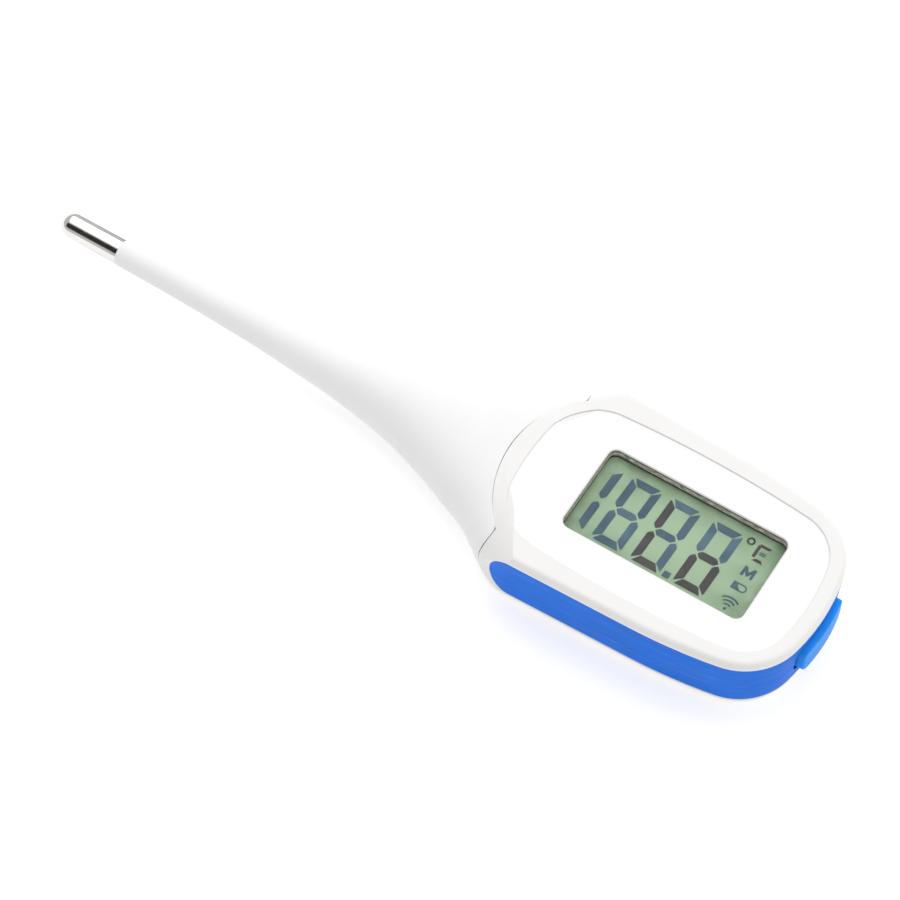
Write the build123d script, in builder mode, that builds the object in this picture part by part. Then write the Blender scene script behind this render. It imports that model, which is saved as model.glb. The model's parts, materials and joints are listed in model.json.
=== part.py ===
from build123d import *
import os
from math import cos, pi, sin, tan, radians

# Digital clinical thermometer with a large display and a flexible stem.
# Millimetres. +X runs along the stem towards the button end, +Z out through the display,
# and the origin is under the middle of the part, at the level of its flat back.

# ---- driving dimensions -------------------------------------------------------------
# Housing in plan: one half of the outline, from the button end round to the stem
END_X = 71.0
END_RADIUS = 34.5
END_ARC = 12.4
CORNER_RADIUS = 10.95
CORNER_ARC = 67.1
SIDE_RADIUS = 94.0
SIDE_ARC = 8.9
SHOULDER_X = 25.0
SHOULDER_RADIUS = 14.0
SHOULDER_ARC = 30.0
NOSE_X = 14.0

# Housing heights
TOP_Z = 13.5
PANEL_Z = 13.25
MID_Z = 6.75
BAND_TOP_Z = 12.04
BAND_LOW_Z = 1.72
SIDE_DRAFT = 2.2
TOP_EDGE_RADIUS = 1.1
BACK_EDGE_RADIUS = 1.5
BAND_THICKNESS = 1.3
WALL = 1.3
FLOOR_Z = 1.65
CEILING_Z = 11.7
BAND_FRONT_X = 22.3
BAND_FRONT_LENGTH = 3.6
EDGE_BREAK = 0.12

# Seam between the housing and the stem: a round tongue, then straight across
TONGUE_RADIUS = 19.5
TONGUE_TIP_X = 15.4
SEAM_X = 21.7
SEAM_MID_X = 19.9
SEAM_GAP = 0.15

# Recessed panel around the display: (radius, turn in degrees) of the arcs of one half of its
# outline, from the button end; one more arc closes it at the stem end
PANEL_END_X = 68.2
PANEL_ARCS = [(35.0, 11.5), (7.8, 73.0), (200.0, 9.5), (9.3, 78.0)]

# Display opening and what sits in it
DISPLAY_X = 44.8
WINDOW_LENGTH = 31.6
WINDOW_WIDTH = 16.0
WINDOW_RADIUS = 1.4
LIP_Z = 12.95
WINDOW_EDGE = 0.25
LINER = 0.5
LINER_LENGTH = WINDOW_LENGTH + 2 * LINER
LINER_WIDTH = WINDOW_WIDTH + 2 * LINER
FIT = 0.05
GLASS_LENGTH = 36.0
GLASS_WIDTH = 20.0
GLASS_LOW_Z = 9.0
GLASS_TOP_Z = 10.9

# Circuit board
BOARD_TOP_Z = 6.55
BOARD_THICKNESS = 1.0
BOARD_START_X = 25.0
BOARD_END_X = 65.8
BOARD_WIDTH = 19.8

# Battery, type CR2032, and its door
BATTERY_X = 47.0
BATTERY_RADIUS = 10.0
BATTERY_LOW_Z = 1.75
BATTERY_HEIGHT = 3.2
DOOR_RADIUS = 12.0
DOOR_GAP = 0.15
TAB_REACH = 0.8
TAB_ANGLE = 30.0
DOOR_TURN = 45.0

# Button on the end face
BUTTON_LENGTH = 11.8
BUTTON_HEIGHT = 5.8
BUTTON_FACE_X = 71.9
BUTTON_GAP = 0.25
BUTTON_END_GAP = 0.65
BUTTON_EDGE = 0.3

# Form that rounds off the housing's front end: (x, half width, half height, squareness above
# the middle, squareness below it)
FRONT_SECTIONS = [
    (13.0, 12.8, 6.8, 2.4, 2.8),
    (18.0, 15.8, 6.95, 2.6, 3.2),
    (21.7, 17.9, 7.25, 2.75, 3.8),
    (23.7, 18.8, 7.3, 3.6, 4.8),
    (26.5, 19.4, 7.6, 6.0, 6.0),
    (29.0, 20.5, 8.4, 8.0, 8.0),
]

# Stem, in the same way: round at the probe and flatter at the housing
STEM_SECTIONS = [
    (-16.4, 4.3, 4.3, 2.0, 2.0),
    (-10.0, 5.2, 5.2, 2.0, 2.0),
    (-3.8, 6.45, 5.9, 2.0, 2.1),
    (3.6, 8.75, 6.3, 2.05, 2.3),
    (9.8, 11.2, 6.5, 2.15, 2.6),
    (15.0, 13.9, 6.6, 2.4, 3.0),
    (19.0, 16.4, 6.65, 2.75, 3.6),
    (22.0, 17.5, 6.7, 3.1, 4.5),
]

# Bending length of the stem: (x, radius)
STEM_TAPER = [
    (-60.0, 2.28),
    (-52.0, 2.4),
    (-45.0, 2.55),
    (-38.0, 2.8),
    (-31.0, 3.12),
    (-24.0, 3.65),
    (-17.0, 4.25),
]
HINGE_X = [-17.0, -24.0, -31.0, -38.0, -45.0, -52.0]
HINGE_TURN = 12.0
WIRE_BORE = 0.85

# Probe cap
CAP_END_X = -71.9
CAP_REAR_X = -60.0
CAP_RADIUS = 2.2
CAP_WALL = 0.25

# Plug of the stem inside the housing
PLUG_WIDTH = 17.6
PLUG_HEIGHT = 7.6
POCKET_X = 18.2


def outline_half():
    """One half of the housing's outline, from the button end to the nose, and back along the middle."""
    end = JernArc((END_X, 0), (0, 1), END_RADIUS, END_ARC)
    corner = JernArc(end @ 1, end % 1, CORNER_RADIUS, CORNER_ARC)
    side = JernArc(corner @ 1, corner % 1, SIDE_RADIUS, SIDE_ARC)
    run = ((side @ 1).X - SHOULDER_X) / -(side % 1).X
    straight = Line(side @ 1, side @ 1 + (side % 1) * run)
    shoulder = JernArc(straight @ 1, straight % 1, SHOULDER_RADIUS, SHOULDER_ARC)
    Polyline(shoulder @ 1, (NOSE_X, (shoulder @ 1).Y - 2.0), (NOSE_X, 0), (END_X, 0))


def panel_half():
    """One half of the panel's outline, and back along the middle."""
    arc = JernArc((PANEL_END_X, 0), (0, 1), *PANEL_ARCS[0])
    for radius, turn in PANEL_ARCS[1:]:
        arc = JernArc(arc @ 1, arc % 1, radius, turn)
    last_turn = 180 - sum(turn for _, turn in PANEL_ARCS)
    nose = JernArc(arc @ 1, arc % 1, (arc @ 1).Y / sin(radians(last_turn)), last_turn)
    Line(nose @ 1, (PANEL_END_X, 0))


def superellipse(half_width, half_height, upper, lower, count=16):
    """Points of a section: an ellipse at squareness 2, nearer a rounded rectangle above that."""
    points = []
    for i in range(count):
        c, s = cos(2 * pi * i / count), sin(2 * pi * i / count)
        power = 2 / (upper if s > 0 else lower)
        reach_y = abs(c) ** power * half_width
        reach_z = abs(s) ** power * half_height
        points.append((reach_y if c >= 0 else -reach_y, reach_z if s >= 0 else -reach_z))
    return points


def section_faces(sections):
    """Every section of a list as a face on its own plane, ready for a loft."""
    faces = []
    for x, half_width, half_height, upper, lower in sections:
        with BuildSketch(Plane(origin=(x, 0, MID_Z), x_dir=(0, 1, 0), z_dir=(1, 0, 0))) as across:
            with BuildLine():
                Spline(*superellipse(half_width, half_height, upper, lower), periodic=True)
            make_face()
        faces.append(across.sketch)
    return faces


def stem_radius(x):
    """Radius of the round part of the stem, read along its taper."""
    for (x0, r0), (x1, r1) in zip(STEM_TAPER, STEM_TAPER[1:]):
        if x0 <= x <= x1:
            return r0 + (r1 - r0) * (x - x0) / (x1 - x0)
    return STEM_TAPER[-1][1]


def finish(builder, name):
    """Label one piece and write it to its own file."""
    builder.part.label = name
    export_step(builder.part, f"parts/{name}.step")


os.makedirs("parts", exist_ok=True)

# ---- shapes that several pieces are cut from ----------------------------------------
with BuildSketch() as plan:
    with BuildLine():
        outline_half()
    make_face()
    mirror(about=Plane.XZ)

with BuildPart() as housing_block:
    with BuildSketch(Plane.XY.offset(TOP_Z)):
        add(plan.sketch)
    extrude(amount=-TOP_Z, taper=SIDE_DRAFT)
    fillet(housing_block.faces().sort_by(Axis.Z)[-1].edges(), TOP_EDGE_RADIUS)
    fillet(housing_block.faces().sort_by(Axis.Z)[0].edges(), BACK_EDGE_RADIUS)

# Everything on the housing's side of the seam, which bulges towards the stem at mid height
with BuildPart() as housing_zone:
    with BuildSketch():
        with Locations((TONGUE_TIP_X + TONGUE_RADIUS, 0)):
            Circle(TONGUE_RADIUS)
        with Locations((SEAM_X, 0)):
            Rectangle(60, 60, align=(Align.MIN, Align.CENTER))
    extrude(amount=TOP_Z)
    with BuildSketch(Plane.XZ.offset(-20)):
        with BuildLine():
            ThreePointArc((SEAM_X, 0), (SEAM_MID_X, TOP_Z / 2), (SEAM_X, TOP_Z))
            Line((SEAM_X, TOP_Z), (SEAM_X, 0))
        make_face()
    extrude(amount=40)

with BuildPart() as housing_solid:
    add(housing_block.part)
    add(housing_zone.part, mode=Mode.INTERSECT)

# The rounded front form, and past it everything
with BuildPart() as front_form:
    loft(section_faces(FRONT_SECTIONS))
    with BuildSketch(Plane.YZ.offset(FRONT_SECTIONS[-1][0])):
        with Locations((0, MID_Z)):
            Rectangle(60, 30)
    extrude(amount=END_X)

# The recess follows the front end down, a step below it, where that dips under the level panel
with BuildPart() as panel_dip:
    with BuildSketch(Plane.XY.offset(CEILING_Z)):
        with BuildLine():
            panel_half()
        make_face()
        mirror(about=Plane.XZ)
    extrude(amount=TOP_Z - CEILING_Z)
    with Locations((0, 0, PANEL_Z - TOP_Z)):
        add(front_form.part, mode=Mode.SUBTRACT)

# The space inside the walls, with the narrower pocket behind the stem's plug
with BuildPart() as cavity:
    with BuildSketch(Plane.XY.offset(FLOOR_Z)):
        add(plan.sketch)
        offset(amount=-BAND_THICKNESS - WALL - 0.3)
        with Locations((SHOULDER_X, 0)):
            Rectangle(30, 60, align=(Align.MAX, Align.CENTER), mode=Mode.SUBTRACT)
        with Locations((POCKET_X, 0)):
            Rectangle(SHOULDER_X - POCKET_X, 22.4, align=(Align.MIN, Align.CENTER))
    extrude(amount=CEILING_Z - FLOOR_Z)
    with BuildSketch(Plane.YZ.offset(NOSE_X)):
        with Locations((0, MID_Z)):
            Rectangle(PLUG_WIDTH + 0.2, PLUG_HEIGHT + 0.2)
    extrude(amount=POCKET_X - NOSE_X)

# Opening for the button through the end wall
with BuildPart() as button_opening:
    with BuildSketch(Plane.YZ.offset(BOARD_END_X)):
        with Locations((0, MID_Z)):
            RectangleRounded(BUTTON_LENGTH + 2 * BUTTON_END_GAP, BUTTON_HEIGHT + 2 * BUTTON_GAP, 1.6)
    extrude(amount=END_X - BOARD_END_X + 2)

# ---- side band ----------------------------------------------------------------------
with BuildPart() as band_space:
    with BuildSketch(Plane.XY.offset(BAND_LOW_Z)):
        add(plan.sketch)
        offset(amount=-BAND_THICKNESS - 0.3, mode=Mode.SUBTRACT)
    extrude(amount=BAND_TOP_Z - BAND_LOW_Z)
    add(housing_block.part, mode=Mode.INTERSECT)
    with BuildSketch(Plane.XZ.offset(-20)):
        with Locations((BAND_FRONT_X + BAND_FRONT_LENGTH, (BAND_LOW_Z + BAND_TOP_Z) / 2)):
            Ellipse(BAND_FRONT_LENGTH, (BAND_TOP_Z - BAND_LOW_Z) / 2)
            Rectangle(60, BAND_TOP_Z - BAND_LOW_Z, align=(Align.MIN, Align.CENTER))
    extrude(amount=40, mode=Mode.INTERSECT)
    add(front_form.part, mode=Mode.INTERSECT)
    add(button_opening.part, mode=Mode.SUBTRACT)

with BuildSketch() as band_middle:
    add(plan.sketch)
    offset(amount=-BAND_THICKNESS / 2)

with BuildPart() as side_band:
    add(band_space.part)
    outer_edges = []
    for edge in side_band.edges().group_by(Axis.Z)[0] + side_band.edges().group_by(Axis.Z)[-1]:
        middle = edge @ 0.5
        if not band_middle.face().is_inside(Vector(middle.X, middle.Y)):
            outer_edges.append(edge)
    fillet(outer_edges, EDGE_BREAK)
finish(side_band, "side_band")

# ---- seal between the shells --------------------------------------------------------
SEAL_INSET = BAND_THICKNESS + 0.75
SEAL_WIDTH = 0.5
SEAL_HEIGHT = 0.8
with BuildPart() as housing_seal:
    with BuildSketch(Plane.XY.offset(MID_Z - SEAL_HEIGHT / 2)):
        add(plan.sketch)
        offset(amount=-SEAL_INSET)
        offset(amount=-SEAL_WIDTH, mode=Mode.SUBTRACT)
        with Locations((SHOULDER_X, 0)):
            Rectangle(30, 60, align=(Align.MAX, Align.CENTER), mode=Mode.SUBTRACT)
    extrude(amount=SEAL_HEIGHT)
    add(button_opening.part, mode=Mode.SUBTRACT)
finish(housing_seal, "housing_seal")

# ---- housing screws, driven from the back -------------------------------------------
SCREW_PLACES = [(28.0, 12.6), (28.0, -12.6), (61.4, 12.35), (61.4, -12.35)]
SCREW_RADIUS = 0.7
SCREW_HEAD_RADIUS = 1.4
SCREW_HEAD_Z = 1.0
SCREW_TIP_Z = 9.8
BOSS_RADIUS = 1.8
with BuildPart() as housing_screws:
    with BuildSketch(Plane.XY.offset(SCREW_HEAD_Z)):
        with Locations(*SCREW_PLACES):
            Circle(SCREW_HEAD_RADIUS)
    extrude(amount=0.9)
    with BuildSketch(Plane.XY.offset(SCREW_HEAD_Z)):
        with Locations(*SCREW_PLACES):
            Circle(SCREW_RADIUS)
    extrude(amount=SCREW_TIP_Z - SCREW_HEAD_Z)
    with BuildSketch(Plane.XY.offset(SCREW_HEAD_Z)):
        with Locations(*SCREW_PLACES):
            Rectangle(1.5, 0.35)
            Rectangle(0.35, 1.5)
    extrude(amount=0.45, mode=Mode.SUBTRACT)
finish(housing_screws, "housing_screws")

# ---- top shell ----------------------------------------------------------------------
with BuildPart() as top_shell:
    add(housing_solid.part)
    split(bisect_by=Plane.XY.offset(MID_Z), keep=Keep.TOP)
    add(cavity.part, mode=Mode.SUBTRACT)
    with BuildSketch(Plane.XY.offset(MID_Z)):
        with Locations(*SCREW_PLACES):
            Circle(BOSS_RADIUS)
    extrude(amount=CEILING_Z - MID_Z)
    with BuildSketch(Plane.XY.offset(MID_Z)):
        with Locations(*SCREW_PLACES):
            Circle(SCREW_RADIUS)
    extrude(amount=SCREW_TIP_Z - MID_Z, mode=Mode.SUBTRACT)
    with BuildSketch(Plane.XY.offset(PANEL_Z)):
        with BuildLine():
            panel_half()
        make_face()
        mirror(about=Plane.XZ)
    extrude(amount=1, mode=Mode.SUBTRACT)
    with BuildSketch(Plane.XY.offset(CEILING_Z)):
        with Locations((DISPLAY_X, 0)):
            RectangleRounded(LINER_LENGTH + 0.2, LINER_WIDTH + 0.2, WINDOW_RADIUS + LINER)
    extrude(amount=LIP_Z - CEILING_Z, mode=Mode.SUBTRACT)
    with BuildSketch(Plane.XY.offset(CEILING_Z)):
        with Locations((DISPLAY_X, 0)):
            RectangleRounded(WINDOW_LENGTH, WINDOW_WIDTH, WINDOW_RADIUS)
    extrude(amount=3, mode=Mode.SUBTRACT)
    level_faces = top_shell.faces().filter_by(Plane.XY)
    panel_face = level_faces.filter_by_position(Axis.Z, PANEL_Z - 0.01, PANEL_Z + 0.01)[0]
    fillet(panel_face.inner_wires()[0].edges(), WINDOW_EDGE)
    fillet(top_shell.faces().sort_by(Axis.Z)[-1].inner_wires()[0].edges(), EDGE_BREAK)
    add(front_form.part, mode=Mode.INTERSECT)
    add(panel_dip.part, mode=Mode.SUBTRACT)
    add(band_space.part, mode=Mode.SUBTRACT)
    add(housing_seal.part, mode=Mode.SUBTRACT)
    add(button_opening.part, mode=Mode.SUBTRACT)
finish(top_shell, "top_shell")

# ---- bottom shell, with the battery well --------------------------------------------
WELL_RADIUS = BATTERY_RADIUS + 0.4
WELL_TOP_Z = 5.2
SHELF_Z = 2.6
RIM_RADIUS = 13.1
CONTACT_WIDTH = 5.0


def tab_ring(turn, angle, inner, outer):
    """Three ring sectors round the battery's axis, spaced evenly and turned by an angle."""
    with BuildSketch() as sectors:
        with Locations((BATTERY_X, 0)):
            Circle(outer)
            Circle(inner, mode=Mode.SUBTRACT)
        with BuildSketch(mode=Mode.PRIVATE) as wedge:
            with BuildLine():
                far_x, far_y = 20 * cos(radians(angle / 2)), 20 * sin(radians(angle / 2))
                Polyline((0, 0), (far_x, -far_y), (far_x, far_y), close=True)
            make_face()
        with BuildSketch(mode=Mode.PRIVATE) as wedges:
            with Locations((BATTERY_X, 0)):
                with PolarLocations(0, 3, start_angle=turn):
                    add(wedge.sketch)
        add(wedges.sketch, mode=Mode.INTERSECT)
    return sectors.sketch


with BuildPart() as bottom_shell:
    add(housing_solid.part)
    split(bisect_by=Plane.XY.offset(MID_Z), keep=Keep.BOTTOM)
    add(cavity.part, mode=Mode.SUBTRACT)
    with BuildSketch(Plane.XY.offset(FLOOR_Z)):
        with Locations(*SCREW_PLACES):
            Circle(BOSS_RADIUS)
    extrude(amount=MID_Z - FLOOR_Z)
    with BuildSketch():
        with Locations(*SCREW_PLACES):
            Circle(SCREW_HEAD_RADIUS + 0.1)
    extrude(amount=SCREW_HEAD_Z + 0.9, mode=Mode.SUBTRACT)
    with BuildSketch():
        with Locations(*SCREW_PLACES):
            Circle(SCREW_RADIUS + 0.1)
    extrude(amount=MID_Z, mode=Mode.SUBTRACT)
    with BuildSketch(Plane.XY.offset(FLOOR_Z)):
        with Locations((BATTERY_X, 0)):
            Circle(RIM_RADIUS + 1.0)
            Circle(RIM_RADIUS, mode=Mode.SUBTRACT)
    extrude(amount=SHELF_Z - FLOOR_Z)
    with BuildSketch(Plane.XY.offset(SHELF_Z)):
        with Locations((BATTERY_X, 0)):
            Circle(RIM_RADIUS + 1.0)
            Circle(WELL_RADIUS, mode=Mode.SUBTRACT)
    extrude(amount=0.7)
    with BuildSketch(Plane.XY.offset(SHELF_Z)):
        with Locations((BATTERY_X, 0)):
            Circle(WELL_RADIUS + 1.0)
            Circle(WELL_RADIUS, mode=Mode.SUBTRACT)
            Rectangle(30, CONTACT_WIDTH + 0.6, align=(Align.MIN, Align.CENTER), mode=Mode.SUBTRACT)
    extrude(amount=WELL_TOP_Z - SHELF_Z)
    with BuildSketch():
        with Locations((BATTERY_X, 0)):
            Circle(DOOR_RADIUS + DOOR_GAP)
    extrude(amount=FLOOR_Z, mode=Mode.SUBTRACT)
    with BuildSketch():
        add(tab_ring(-DOOR_TURN, TAB_ANGLE + 4, DOOR_RADIUS - 1, DOOR_RADIUS + TAB_REACH + 0.1))
    extrude(amount=FLOOR_Z, mode=Mode.SUBTRACT)
    add(front_form.part, mode=Mode.INTERSECT)
    add(band_space.part, mode=Mode.SUBTRACT)
    add(housing_seal.part, mode=Mode.SUBTRACT)
    add(button_opening.part, mode=Mode.SUBTRACT)
finish(bottom_shell, "bottom_shell")

# ---- battery door, turned a part of a turn with a coin -------------------------------
with BuildPart() as battery_door:
    with BuildSketch():
        with Locations((BATTERY_X, 0)):
            Circle(DOOR_RADIUS)
    extrude(amount=FLOOR_Z - 0.05)
    with BuildSketch(Plane.XY.offset(FLOOR_Z - 0.05)):
        with Locations((BATTERY_X, 0)):
            Circle(DOOR_RADIUS - 0.1)
            Circle(DOOR_RADIUS - 0.9, mode=Mode.SUBTRACT)
    extrude(amount=SHELF_Z - 0.1 - FLOOR_Z + 0.05)
    with BuildSketch(Plane.XY.offset(FLOOR_Z + 0.1)):
        add(tab_ring(0, TAB_ANGLE, DOOR_RADIUS - 0.5, DOOR_RADIUS + TAB_REACH))
    extrude(amount=SHELF_Z - 0.2 - FLOOR_Z)
    with BuildSketch():
        with Locations((BATTERY_X, 0)):
            SlotOverall(13.0, 1.8)
    extrude(amount=0.8, mode=Mode.SUBTRACT)
finish(battery_door, "battery_door")

with BuildPart() as door_seal:
    with BuildSketch(Plane.XY.offset(FLOOR_Z)):
        with Locations((BATTERY_X, 0)):
            Circle(DOOR_RADIUS - 1.0)
            Circle(DOOR_RADIUS - 1.5, mode=Mode.SUBTRACT)
    extrude(amount=SHELF_Z - FLOOR_Z)
finish(door_seal, "door_seal")

# ---- battery and its contacts --------------------------------------------------------
BATTERY_TOP_Z = BATTERY_LOW_Z + BATTERY_HEIGHT
with BuildPart() as battery:
    with BuildSketch(Plane.XY.offset(BATTERY_LOW_Z)):
        with Locations((BATTERY_X, 0)):
            Circle(BATTERY_RADIUS)
    extrude(amount=BATTERY_HEIGHT - 0.3)
    fillet(battery.faces().sort_by(Axis.Z)[0].edges(), 0.3)
    with BuildSketch(Plane.XY.offset(BATTERY_TOP_Z - 0.3)):
        with Locations((BATTERY_X, 0)):
            Circle(BATTERY_RADIUS - 1.2)
    extrude(amount=0.3)
finish(battery, "battery")

BOARD_LOW_Z = BOARD_TOP_Z - BOARD_THICKNESS
STRIP = 0.25
with BuildPart() as positive_contact:
    with BuildSketch(Plane.XZ.offset(-CONTACT_WIDTH / 2)):
        with BuildLine():
            riser_x = BATTERY_X + BATTERY_RADIUS + 0.05
            Polyline((riser_x, 3.4), (riser_x, BOARD_LOW_Z), (riser_x + 3.4, BOARD_LOW_Z),
                     (riser_x + 3.4, BOARD_LOW_Z - STRIP), (riser_x + STRIP, BOARD_LOW_Z - STRIP),
                     (riser_x + STRIP, 3.4), close=True)
        make_face()
    extrude(amount=CONTACT_WIDTH)
finish(positive_contact, "positive_contact")

with BuildPart() as negative_contact:
    with BuildSketch(Plane.XZ.offset(-1.8)):
        with BuildLine():
            Polyline((BATTERY_X - 6, BOARD_LOW_Z), (BATTERY_X - 3, BOARD_LOW_Z),
                     (BATTERY_X - 3, BOARD_LOW_Z - STRIP), (BATTERY_X + 3, BATTERY_TOP_Z),
                     (BATTERY_X + 4, BATTERY_TOP_Z), (BATTERY_X + 4, BATTERY_TOP_Z + 0.15),
                     (BATTERY_X + 3, BATTERY_TOP_Z + 0.2), (BATTERY_X - 3, BOARD_LOW_Z - STRIP - 0.05),
                     (BATTERY_X - 6, BOARD_LOW_Z - STRIP), close=True)
        make_face()
    extrude(amount=3.6)
finish(negative_contact, "negative_contact")

# ---- circuit board and what is soldered to it -----------------------------------------
SWITCH_LENGTH = 3.4
SWITCH_WIDTH = 6.0
with BuildPart() as main_board:
    with BuildSketch(Plane.XY.offset(BOARD_LOW_Z)):
        with Locations((BOARD_START_X, 0)):
            Rectangle(BOARD_END_X - BOARD_START_X, BOARD_WIDTH, align=(Align.MIN, Align.CENTER))
        chamfer(vertices().group_by(Axis.X)[-1], 3.0)
        with Locations((BOARD_END_X, 0)):
            Rectangle(SWITCH_LENGTH, SWITCH_WIDTH + 0.1, align=(Align.MAX, Align.CENTER), mode=Mode.SUBTRACT)
    extrude(amount=BOARD_THICKNESS)
finish(main_board, "main_board")

with BuildPart() as controller_chip:
    with BuildSketch(Plane.XY.offset(BOARD_TOP_Z)):
        with Locations((DISPLAY_X - 2, 0)):
            Rectangle(7, 7)
    extrude(amount=0.9)
    fillet(controller_chip.edges().group_by(Axis.Z)[-1], 0.3)
finish(controller_chip, "controller_chip")

with BuildPart() as radio_chip:
    with BuildSketch(Plane.XY.offset(BOARD_TOP_Z)):
        with Locations((DISPLAY_X + 9, 1)):
            Rectangle(4, 4)
    extrude(amount=0.8)
finish(radio_chip, "radio_chip")

with BuildPart() as crystal:
    with BuildSketch(Plane.XY.offset(BOARD_TOP_Z)):
        with Locations((DISPLAY_X - 10, -3)):
            Rectangle(3.2, 1.5)
    extrude(amount=0.8)
finish(crystal, "crystal")

with BuildPart() as chip_components:
    with BuildSketch(Plane.XY.offset(BOARD_TOP_Z)):
        with Locations((DISPLAY_X - 10, 3)):
            with GridLocations(2.2, 1.8, 3, 2):
                Rectangle(1.0, 0.5)
        with Locations((DISPLAY_X + 5, -5)):
            with GridLocations(2.2, 1.8, 2, 1):
                Rectangle(1.0, 0.5)
    extrude(amount=0.45)
finish(chip_components, "chip_components")

# Sounder: a brass disc with a ceramic layer, bonded inside the back
SOUNDER_X = 28.8
with BuildPart() as sounder_disc:
    with BuildSketch(Plane.XY.offset(FLOOR_Z)):
        with Locations((SOUNDER_X, 0)):
            Circle(3.9)
    extrude(amount=0.2)
finish(sounder_disc, "sounder_disc")

with BuildPart() as sounder_ceramic:
    with BuildSketch(Plane.XY.offset(FLOOR_Z + 0.2)):
        with Locations((SOUNDER_X, 0)):
            Circle(2.8)
    extrude(amount=0.2)
finish(sounder_ceramic, "sounder_ceramic")

# ---- switch behind the button ----------------------------------------------------------
SWITCH_X = BOARD_END_X - SWITCH_LENGTH
with BuildPart() as switch_body:
    with BuildSketch(Plane.YZ.offset(SWITCH_X)):
        with Locations((0, MID_Z)):
            Rectangle(SWITCH_WIDTH, 3.2)
    extrude(amount=SWITCH_LENGTH)
    with BuildSketch(Plane.YZ.offset(BOARD_END_X)):
        with Locations((0, MID_Z)):
            Rectangle(3.2, 1.8)
    extrude(amount=-1.2, mode=Mode.SUBTRACT)
finish(switch_body, "switch_body")

FLANGE_X = 66.9
with BuildPart() as switch_plunger:
    with BuildSketch(Plane.YZ.offset(BOARD_END_X - 0.5)):
        with Locations((0, MID_Z)):
            Rectangle(3.0, 1.6)
    extrude(amount=FLANGE_X - BOARD_END_X + 0.45)
finish(switch_plunger, "switch_plunger")

# Button: the face follows the round end of the housing, and a flange inside holds it in
with BuildPart() as power_button:
    with BuildSketch(Plane.YZ.offset(FLANGE_X)):
        with Locations((0, MID_Z)):
            RectangleRounded(BUTTON_LENGTH + 1.6, BUTTON_HEIGHT + 1.2, 1.8)
    extrude(amount=0.5)
    with BuildSketch(Plane.YZ.offset(FLANGE_X)):
        with Locations((0, MID_Z)):
            RectangleRounded(BUTTON_LENGTH, BUTTON_HEIGHT, 1.4)
    extrude(amount=BUTTON_FACE_X - FLANGE_X)
    with BuildSketch():
        with Locations((BUTTON_FACE_X - 31.0, 0)):
            Circle(31.0)
    extrude(amount=TOP_Z, mode=Mode.INTERSECT)
    fillet(power_button.faces().sort_by(Axis.X)[-1].edges(), BUTTON_EDGE)
finish(power_button, "power_button")

# ---- display ---------------------------------------------------------------------------
LENS_TOP_Z = CEILING_Z - 0.05
with BuildPart() as display_lens:
    with BuildSketch(Plane.XY.offset(LENS_TOP_Z - 0.5)):
        with Locations((DISPLAY_X, 0)):
            RectangleRounded(WINDOW_LENGTH, WINDOW_WIDTH, WINDOW_RADIUS)
    extrude(amount=0.5)
finish(display_lens, "display_lens")

POLARISER_TOP_Z = GLASS_TOP_Z + 0.2
with BuildPart() as lcd_polariser:
    with BuildSketch(Plane.XY.offset(GLASS_TOP_Z)):
        with Locations((DISPLAY_X, 0)):
            Rectangle(WINDOW_LENGTH + 1.6, WINDOW_WIDTH + 1.6)
    extrude(amount=0.2)
finish(lcd_polariser, "lcd_polariser")

with BuildPart() as lcd_glass:
    with BuildSketch(Plane.XY.offset(GLASS_LOW_Z)):
        with Locations((DISPLAY_X, 0)):
            Rectangle(GLASS_LENGTH, GLASS_WIDTH)
    extrude(amount=(GLASS_TOP_Z - GLASS_LOW_Z) / 2)
    with BuildSketch(Plane.XY.offset((GLASS_TOP_Z + GLASS_LOW_Z) / 2)):
        with Locations((DISPLAY_X, 0)):
            Rectangle(GLASS_LENGTH, GLASS_WIDTH - 2.4)
    extrude(amount=(GLASS_TOP_Z - GLASS_LOW_Z) / 2)
finish(lcd_glass, "lcd_glass")

# Stamped metal frame: a skirt round the glass, a flange over it and a liner in the window
FRAME_SHEET = 0.3
with BuildPart() as lcd_frame:
    with BuildSketch(Plane.XY.offset(BOARD_TOP_Z)):
        with Locations((DISPLAY_X, 0)):
            Rectangle(GLASS_LENGTH + 1.0, GLASS_WIDTH + 1.0)
            Rectangle(GLASS_LENGTH + 0.4, GLASS_WIDTH + 0.4, mode=Mode.SUBTRACT)
            Rectangle(GLASS_LENGTH - 8.0, 60, mode=Mode.SUBTRACT)
            Rectangle(60, GLASS_WIDTH - 8.0, mode=Mode.SUBTRACT)
    extrude(amount=2.0)
    with BuildSketch(Plane.XY.offset(BOARD_TOP_Z + 2.0)):
        with Locations((DISPLAY_X, 0)):
            Rectangle(GLASS_LENGTH + 1.0, GLASS_WIDTH + 1.0)
            Rectangle(GLASS_LENGTH + 0.4, GLASS_WIDTH + 0.4, mode=Mode.SUBTRACT)
    extrude(amount=CEILING_Z - FIT - BOARD_TOP_Z - 2.0)
    with BuildSketch(Plane.XY.offset(POLARISER_TOP_Z)):
        with Locations((DISPLAY_X, 0)):
            Rectangle(GLASS_LENGTH + 1.0, GLASS_WIDTH + 1.0)
            RectangleRounded(WINDOW_LENGTH, WINDOW_WIDTH, WINDOW_RADIUS, mode=Mode.SUBTRACT)
    extrude(amount=CEILING_Z - FIT - POLARISER_TOP_Z)
    with BuildSketch(Plane.XY.offset(CEILING_Z - FIT)):
        with Locations((DISPLAY_X, 0)):
            RectangleRounded(LINER_LENGTH, LINER_WIDTH, WINDOW_RADIUS + LINER)
            RectangleRounded(WINDOW_LENGTH, WINDOW_WIDTH, WINDOW_RADIUS, mode=Mode.SUBTRACT)
    extrude(amount=LIP_Z - CEILING_Z)
finish(lcd_frame, "lcd_frame")

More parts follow.
